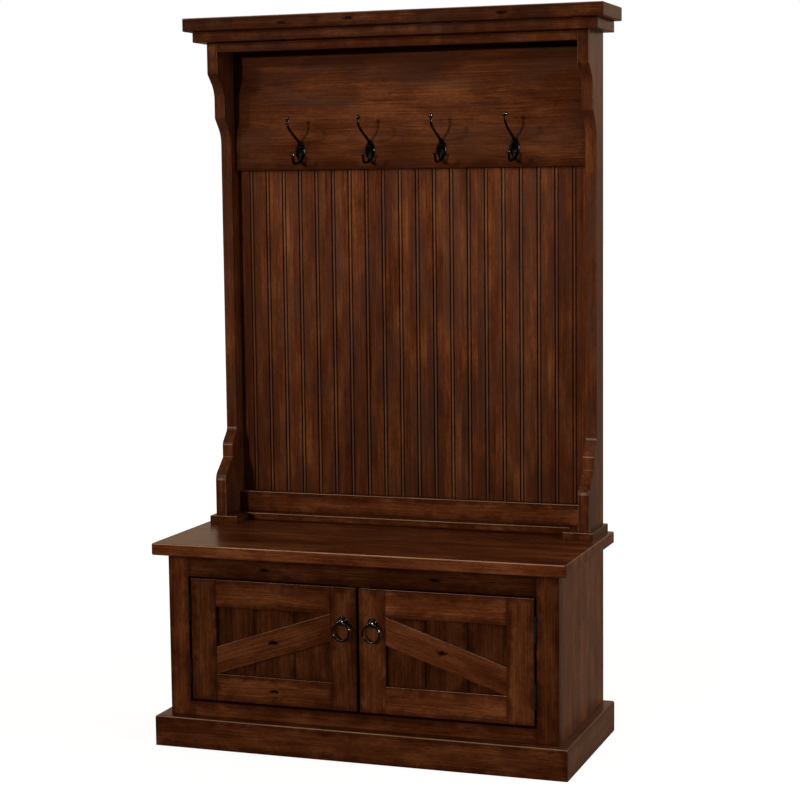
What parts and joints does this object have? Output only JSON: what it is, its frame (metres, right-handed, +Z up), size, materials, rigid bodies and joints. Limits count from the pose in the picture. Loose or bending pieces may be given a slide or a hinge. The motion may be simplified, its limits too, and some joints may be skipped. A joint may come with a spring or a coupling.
{
  "type": "hall tree",
  "caption": "Hall tree: bench cabinet with paired braced doors and ring pulls, topped by a beadboard hutch with coat hooks under a flat cornice.",
  "frame": {"origin": "on the floor at the middle of the whole piece's footprint, halfway between the seat's front edge and the flat back", "axes": "+Z up, -Y towards a person facing the doors, +X to that person's right"},
  "size_m": [1.106, 0.479, 1.829],
  "materials": {
    "stained_wood": "dark reddish-brown stain under satin lacquer",
    "dark_iron": "oil-rubbed black, semi-gloss",
    "black_hinge_steel": "satin black",
    "black_screws": "satin black",
    "zinc_steel": "zinc plated",
    "catch_plastic": "moulded brown"
  },
  "bodies": {
    "case": {"back_strip": "stained_wood", "base_moulding_front": "stained_wood", "base_moulding_left": "stained_wood", "base_moulding_right": "stained_wood", "beadboard_panel": "stained_wood", "cabinet_back": "stained_wood", "cabinet_floor": "stained_wood", "cabinet_side_left": "stained_wood", "cabinet_side_right": "stained_wood", "coat_hook_1": "dark_iron", "coat_hook_2": "dark_iron", "coat_hook_3": "dark_iron", "coat_hook_4": "dark_iron", "cornice_board": "stained_wood", "cornice_cap": "stained_wood", "door_catch": "catch_plastic", "frame_rail_bottom": "stained_wood", "frame_rail_top": "stained_wood", "frame_stile_left": "stained_wood", "frame_stile_right": "stained_wood", "head_rail": "stained_wood", "hinge_frame_leaves_left": "black_hinge_steel", "hinge_frame_leaves_right": "black_hinge_steel", "hinge_frame_screws": "black_screws", "hinge_pins": "black_hinge_steel", "hook_board": "stained_wood", "hook_screws": "black_screws", "hutch_foot_left": "stained_wood", "hutch_foot_right": "stained_wood", "hutch_side_left": "stained_wood", "hutch_side_right": "stained_wood", "lower_rail": "stained_wood", "seat_top": "stained_wood"},
    "door_left": {"catch_strike_left": "zinc_steel", "door_left_bottom_rail": "stained_wood", "door_left_brace": "stained_wood", "door_left_hinge_screws": "black_screws", "door_left_inner_stile": "stained_wood", "door_left_outer_stile": "stained_wood", "door_left_plank_1": "stained_wood", "door_left_plank_2": "stained_wood", "door_left_plank_3": "stained_wood", "door_left_top_rail": "stained_wood", "hinge_door_leaves_left": "black_hinge_steel", "pull_rosette_left": "dark_iron"},
    "door_right": {"catch_strike_right": "zinc_steel", "door_right_bottom_rail": "stained_wood", "door_right_brace": "stained_wood", "door_right_hinge_screws": "black_screws", "door_right_inner_stile": "stained_wood", "door_right_outer_stile": "stained_wood", "door_right_plank_1": "stained_wood", "door_right_plank_2": "stained_wood", "door_right_plank_3": "stained_wood", "door_right_top_rail": "stained_wood", "hinge_door_leaves_right": "black_hinge_steel", "pull_rosette_right": "dark_iron"},
    "ring_left": {"pull_ring_left": "dark_iron"},
    "ring_right": {"pull_ring_right": "dark_iron"}
  },
  "joints": [
    {"name": "door_left_swing", "type": "hinge", "parent": "case", "child": "door_left", "pos_m": [-0.4485, -0.2024, 0.2715], "axis": [0, 0, -1], "range_deg": [0, 110]},
    {"name": "door_right_swing", "type": "hinge", "parent": "case", "child": "door_right", "pos_m": [0.4485, -0.2024, 0.2715], "axis": [0, 0, 1], "range_deg": [0, 110]},
    {"name": "ring_left_swing", "type": "hinge", "parent": "door_left", "child": "ring_left", "pos_m": [-0.03925, -0.2125, 0.3392], "axis": [-1, 0, 0], "range_deg": [-12, 95]},
    {"name": "ring_right_swing", "type": "hinge", "parent": "door_right", "child": "ring_right", "pos_m": [0.03925, -0.2125, 0.3392], "axis": [-1, 0, 0], "range_deg": [-12, 95]}
  ]
}
